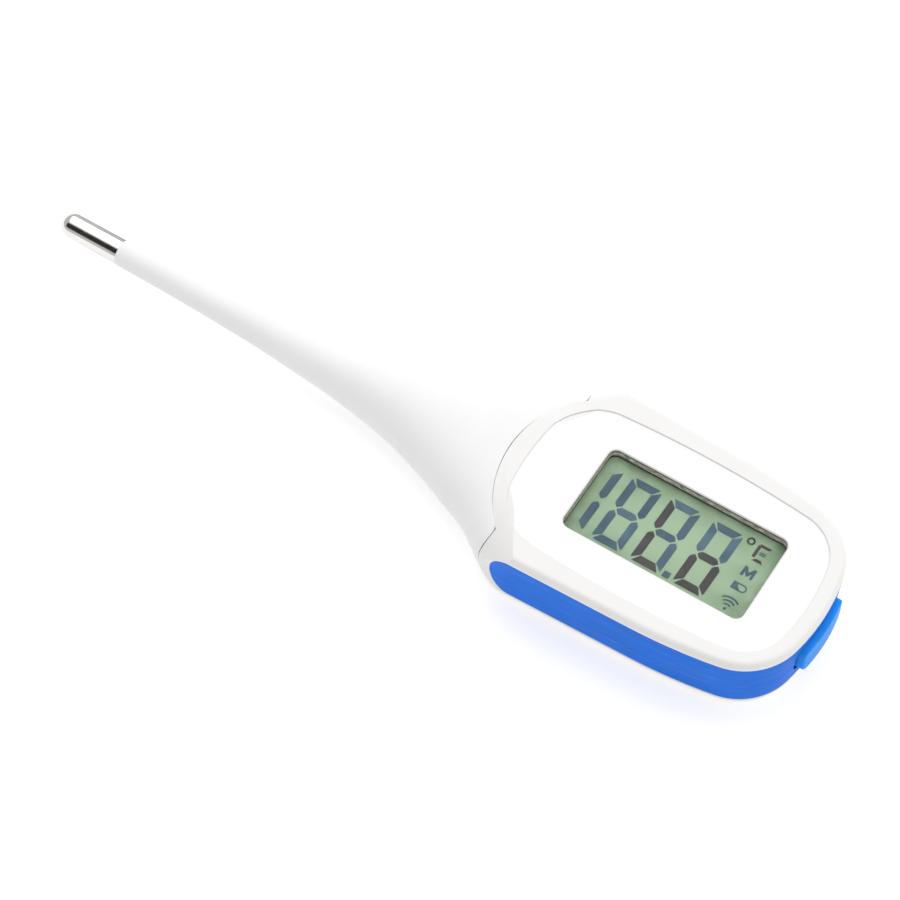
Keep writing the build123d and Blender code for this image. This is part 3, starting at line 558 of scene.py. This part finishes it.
def build_stem():
    """The stem's pieces: one on the housing, one over each hinge and one on the probe."""
    rings, marks = stem_rings()
    normals = grid_normals(rings)
    inner_angles = ring_angles(-30.0)[0]

    def piece(name, first, last, tail):
        """One closed piece from skin rings first to last, then the rings of tail back to the start."""
        skin = rings[first:last + 1]
        body = skin + tail
        tail_normals = np.zeros((len(tail), len(tail[0]), 3))
        for i, ring in enumerate(tail):
            for k, point in enumerate(ring):
                tail_normals[i, k] = Vector((0.0, -point[1], MID_Z - point[2])).normalized()
        vectors = np.concatenate([normals[first:last + 1], tail_normals]).reshape(-1, 3)
        made = closed_tube(name, body, vectors)
        dress(made, RUBBER)
        return made

    tip_bore = [bore_ring(SPIGOT_END_X, inner_angles)]
    spigot = [[(x, SPIGOT_RADIUS * math.cos(a), MID_Z + SPIGOT_RADIUS * math.sin(a)) for a in inner_angles]
              for x in (SPIGOT_END_X, CAP_REAR_X)]
    tip = piece("stem_skin_tip", 0, marks[0],
                [bore_ring(HINGES[-1] - HALF_LINK, inner_angles)] + tip_bore + spigot)
    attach(tip, "probe_tip")
    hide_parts("stem_tip")

    for k in range(HINGE_COUNT):
        first, last = marks[HINGE_COUNT - 1 - k], marks[HINGE_COUNT - k]
        near, far = HINGES[k] + HALF_LINK, HINGES[k] - HALF_LINK
        bore = [bore_ring(x, inner_angles) for x in x_steps(near, far, RING_PITCH)]
        span = piece(f"stem_skin_{k + 1}", first, last, bore)
        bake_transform(span)
        if k < HINGE_COUNT - 1:
            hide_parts(f"stem_link_{k + 1}")

    plug_angles = ring_angles(SEAM_X)[0]
    plug_start = outline_ring(0.0, PLUG_SIZE, PLUG_CORNER, plug_angles)
    seat = [(seam_x(y, z) - SEAM_GAP, y, z) for _, y, z in plug_start]
    tail = [seat]
    for x, size in ((FLANGE_START_X, PLUG_SIZE), (FLANGE_START_X, FLANGE_SIZE), (FLANGE_END_X, FLANGE_SIZE),
                    (FLANGE_END_X, PLUG_SIZE), (PLUG_END_X, PLUG_SIZE)):
        tail.append(outline_ring(x, size, PLUG_CORNER, plug_angles))
    tail += [bore_ring(PLUG_END_X, inner_angles), bore_ring(HINGES[0] + HALF_LINK, inner_angles)]
    root = piece("stem_skin_root", marks[HINGE_COUNT], len(rings) - 1, tail)
    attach(root, "housing")
    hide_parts("stem_root")


def wire_piece(name, start, end):
    """The two wires along one stretch of the stem."""
    points, faces = [], []
    steps = x_steps(start, end, WIRE_PITCH)
    for offset in (-WIRE_OFFSET, WIRE_OFFSET):
        base = len(points)
        for x in steps:
            for i in range(WIRE_SIDES):
                angle = 2 * math.pi * i / WIRE_SIDES
                y, z = WIRE_RADIUS * math.cos(angle), WIRE_RADIUS * math.sin(angle)
                points.append((x, offset + y, MID_Z + z))
        for i in range(len(steps) - 1):
            a = base + i * WIRE_SIDES
            b = a + WIRE_SIDES
            for k in range(WIRE_SIDES):
                n = (k + 1) % WIRE_SIDES
                faces.append((a + k, b + k, b + n, a + n))
        last = base + (len(steps) - 1) * WIRE_SIDES
        faces.append(tuple(base + i for i in range(WIRE_SIDES)))
        faces.append(tuple(last + i for i in reversed(range(WIRE_SIDES))))
    made = mesh_object(name, points, faces)
    dress(made, WIRE)
    return made


def build_wires():
    """The probe's wires, in a piece on the housing, one over each hinge and one on the probe."""
    low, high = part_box("thermistor_wires")
    root = wire_piece("wires_root", high.x / MM, HINGES[0] + HALF_LINK)
    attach(root, "housing")
    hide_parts("thermistor_wires")
    for k in range(HINGE_COUNT):
        near, far = HINGES[k] + HALF_LINK, HINGES[k] - HALF_LINK
        span = wire_piece(f"wires_{k + 1}", near, far)
        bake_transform(span)
    tip = wire_piece("wires_tip", HINGES[-1] - HALF_LINK, low.x / MM)
    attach(tip, "probe_tip")


# ---- display segments ------------------------------------------------------------------------
DIGIT_WIDTH = 5.3
DIGIT_TOP_Y = 6.25
DIGIT_MID_Y = -0.18
DIGIT_LOW_Y = -6.55
STROKE = 1.34
SLANT = 0.0245
DIGIT_CENTRES = [29.5, 36.4, 43.35, 50.87]
INK_LOW = 0.004
INK_HIGH = 0.034


def side_stroke(edge, inward, end_y):
    """One upright segment, from the digit's middle to its top or bottom."""
    up = 1 if end_y > DIGIT_MID_Y else -1
    return [(edge + inward * 0.12, end_y - up * 0.42), (edge, end_y - up * 0.7),
            (edge, DIGIT_MID_Y + up * 0.95),
            (edge + inward * 0.62, DIGIT_MID_Y + up * 0.3), (edge + inward * STROKE, DIGIT_MID_Y + up * 0.95),
            (edge + inward * STROKE, end_y - up * 1.5)]


def end_bar(left, right, end_y):
    """The level segment at a digit's top or bottom."""
    up = 1 if end_y > DIGIT_MID_Y else -1
    return [(left + 0.42, end_y), (left + 1.32, end_y - up * STROKE), (right - 1.32, end_y - up * STROKE),
            (right - 0.42, end_y)]


def digit(centre):
    """The seven segments of a digit, by their usual letters."""
    left, right = centre - DIGIT_WIDTH / 2, centre + DIGIT_WIDTH / 2
    half = STROKE / 2
    return {
        "a": end_bar(left, right, DIGIT_TOP_Y),
        "b": side_stroke(right, -1, DIGIT_TOP_Y),
        "c": side_stroke(right, -1, DIGIT_LOW_Y),
        "d": end_bar(left, right, DIGIT_LOW_Y),
        "e": side_stroke(left, 1, DIGIT_LOW_Y),
        "f": side_stroke(left, 1, DIGIT_TOP_Y),
        "g": [(left + 0.82, DIGIT_MID_Y), (left + 1.4, DIGIT_MID_Y + half), (right - 1.4, DIGIT_MID_Y + half),
              (right - 0.82, DIGIT_MID_Y), (right - 1.4, DIGIT_MID_Y - half), (left + 1.4,
               DIGIT_MID_Y - half)],
    }


def stroke(points, width):
    """A band of even width along a line of points."""
    left, right = [], []
    for i, (x, y) in enumerate(points):
        x0, y0 = points[max(i - 1, 0)]
        x1, y1 = points[min(i + 1, len(points) - 1)]
        length = math.hypot(x1 - x0, y1 - y0)
        nx, ny = -(y1 - y0) / length * width / 2, (x1 - x0) / length * width / 2
        left.append((x + nx, y + ny))
        right.append((x - nx, y - ny))
    return [[left[i], left[i + 1], right[i + 1], right[i]] for i in range(len(points) - 1)]


def arc(x, y, radius, start, end, count=12):
    steps = [math.radians(start + (end - start) * i / count) for i in range(count + 1)]
    return [(x + radius * math.cos(a), y + radius * math.sin(a)) for a in steps]


def box_outline(left, low, right, high):
    return [(left, low), (right, low), (right, high), (left, high)]


def degree_ring():
    return stroke(arc(54.8, 6.05, 0.53, 0, 360, 24), 0.32)


def unit_glyph():
    """A full-segment temperature unit."""
    return [box_outline(56.12, 3.85, 56.65, 6.15), [(56.2, 6.42), (58.3, 6.42), (58.0, 5.95), (56.7, 5.95)],
            [(56.45, 3.25), (58.25, 3.25), (57.85, 3.8), (56.95, 3.8)]]


def unit_dashes():
    return [box_outline(56.95, y, 57.95, y + 0.22) for y in (4.6, 4.95)]


def memory_letter():
    """A plain letter M."""
    left, right, low, high, bar = 56.25, 58.3, 0.1, 1.95, 0.46
    middle = (left + right) / 2
    return [box_outline(left, low, left + bar, high), box_outline(right - bar, low, right, high),
            [(left + bar, high), (middle, low + 0.95), (middle, low + 0.05), (left + bar, high - 0.95)],
            [(right - bar, high), (right - bar, high - 0.95), (middle, low + 0.05), (middle, low + 0.95)]]


def battery_glyph():
    """A battery that is half full."""
    outline = [(56.9, -1.32)] + arc(57.95, -1.9, 0.58, 90, -90) + [(57.4, -2.48)]
    filled = [(56.15, -1.2), (56.95, -1.2), (57.05, -1.75), (57.5, -2.2), (57.6, -2.6), (56.15, -2.6)]
    return stroke(outline, 0.24) + [filled]


def radio_glyph():
    """Three plain arcs over a dot."""
    x, y = 57.4, -6.25
    shape = [arc(x, y, 0.26, 0, 330, 11)]
    for radius in (0.85, 1.5, 2.15):
        shape += stroke(arc(x, y, radius, 50, 130), 0.3)
    return shape


def ink_piece(name, outlines, material):
    """Thin raised ink on the display's face, leaning a little as the digits do."""
    points, faces = [], []
    for outline in outlines:
        area = sum(x0 * y1 - x1 * y0 for (x0, y0), (x1, y1) in zip(outline, outline[1:] + outline[:1]))
        if area < 0:
            outline = outline[::-1]
        base, count = len(points), len(outline)
        for z in (FACE_Z + INK_LOW, FACE_Z + INK_HIGH):
            points += [(x + SLANT * (y - DIGIT_MID_Y), y, z) for x, y in outline]
        faces.append(tuple(base + i for i in reversed(range(count))))
        faces.append(tuple(base + count + i for i in range(count)))
        for i in range(count):
            n = (i + 1) % count
            faces.append((base + i, base + n, base + count + n, base + count + i))
    made = mesh_object(name, points, faces, smooth=False)
    dress(made, material)
    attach(made, "housing")


def build_display():
    """All segments lit, as at switch-on, in two inks and a paler one."""
    slate = segment_ink("segment_slate", (0.036, 0.078, 0.118), (0.058, 0.115, 0.155))
    pale = segment_ink("segment_pale", (0.075, 0.15, 0.20), (0.052, 0.105, 0.15))
    dark = segment_ink("segment_dark", (0.034, 0.036, 0.037), (0.058, 0.055, 0.055))
    one, second, third, fourth = (digit(x) for x in DIGIT_CENTRES)
    slates = [one["b"], one["c"]] + [second[key] for key in "abdfe"] + [third["g"], third["b"], fourth["a"]]
    slates += unit_dashes() + memory_letter() + battery_glyph() + radio_glyph()
    slates.append(box_outline(46.45, -6.56, 47.62, -5.42))
    pales = [second["g"], second["c"], third["a"], third["c"], fourth["f"], fourth["b"]]
    darks = [third["f"], third["e"],
             third["d"]] + [fourth[key] for key in "gecd"] + degree_ring() + unit_glyph()
    ink_piece("segments_slate", slates, slate)
    ink_piece("segments_pale", pales, pale)
    ink_piece("segments_dark", darks, dark)


# ---- stage: floor, lights and camera -----------------------------------------------------------
SOFTBOX_POWER = 15.5
WORLD_STRENGTH = 0.62
FLOOR_REACH = 6000
CAMERA_PLACE = (134.759, -205.304, 411.589)
CAMERA_AIM = (5.787, -2.871, 6.75)
CAMERA_LENS = 119.137


def add_area(name, place, target, size, power):
    data = bpy.data.lights.new(name, "AREA")
    data.shape = "RECTANGLE"
    data.size, data.size_y = size
    data.energy = power
    light = bpy.data.objects.new(name, data)
    bpy.context.scene.collection.objects.link(light)
    light.location = place
    light.rotation_euler = (Vector(target) - Vector(place)).to_track_quat("-Z", "Y").to_euler()


def arc_place(angle, distance):
    """A place round the stem's line: 0 is level behind the object, 90 overhead, 180 level in front."""
    turn = math.radians(angle)
    return (0.0, distance * math.cos(turn), distance * math.sin(turn))


def rectangle(name, reach_x, reach_y):
    """A level sheet, centred on its own origin."""
    corners = [(-reach_x, -reach_y, 0), (reach_x, -reach_y, 0), (reach_x, reach_y, 0), (-reach_x, reach_y, 0)]
    return mesh_object(name, corners, [(0, 1, 2, 3)], smooth=False)


def add_card(name, place, target, size, shade=0.01):
    """A dark card that only reflections see, as a photographer's flag."""
    card = rectangle(name, size[0] / 2 / MM, size[1] / 2 / MM)
    card.location = place
    card.rotation_euler = (Vector(target) - Vector(place)).to_track_quat("-Z", "Y").to_euler()
    card.data.materials.append(Surface(name, (shade, shade, shade), 0.9).material)
    card.visible_camera = False
    card.visible_diffuse = False
    card.visible_shadow = False


def build_stage():
    floor = rectangle("floor", FLOOR_REACH, FLOOR_REACH)
    paper = Surface("floor_paper", (0.72, 0.715, 0.715), 0.9, specular=0.1)
    paper.set("Emission Color", (1.0, 1.0, 1.0, 1.0))
    paper.set("Emission Strength", 0.43)
    paper.mottle(0.004, 40.0)
    floor.data.materials.append(paper.material)

    world = bpy.data.worlds.new("studio")
    bpy.context.scene.world = world
    world.use_nodes = True
    sky = world.node_tree.nodes["Background"]
    sky.inputs["Color"].default_value = (1.0, 0.985, 0.985, 1.0)
    sky.inputs["Strength"].default_value = WORLD_STRENGTH
    middle = (0.0, 0.0, MID_Z * MM)
    add_area("softbox", arc_place(66, 1.2), middle, (2.2, 1.8), SOFTBOX_POWER)
    add_card("card_front", arc_place(134, 1.1), middle, (2.4, 0.85))
    add_card("card_behind", (-0.07, 0.13, 0.002), (-0.07, 0.13, 0.0), (0.06, 0.22), 0.12)

    camera = bpy.data.objects.new("camera", bpy.data.cameras.new("camera"))
    bpy.context.scene.collection.objects.link(camera)
    place, aim = Vector(CAMERA_PLACE) * MM, Vector(CAMERA_AIM) * MM
    camera.location = place
    camera.rotation_euler = (aim - place).to_track_quat("-Z", "Y").to_euler()
    camera.data.lens = CAMERA_LENS
    camera.data.sensor_width = 36.0
    camera.data.clip_start = 0.01
    bpy.context.scene.camera = camera
    bpy.context.scene.view_settings.view_transform = "Standard"


paint_nodes()
build_stem()
build_wires()
build_display()
build_stage()
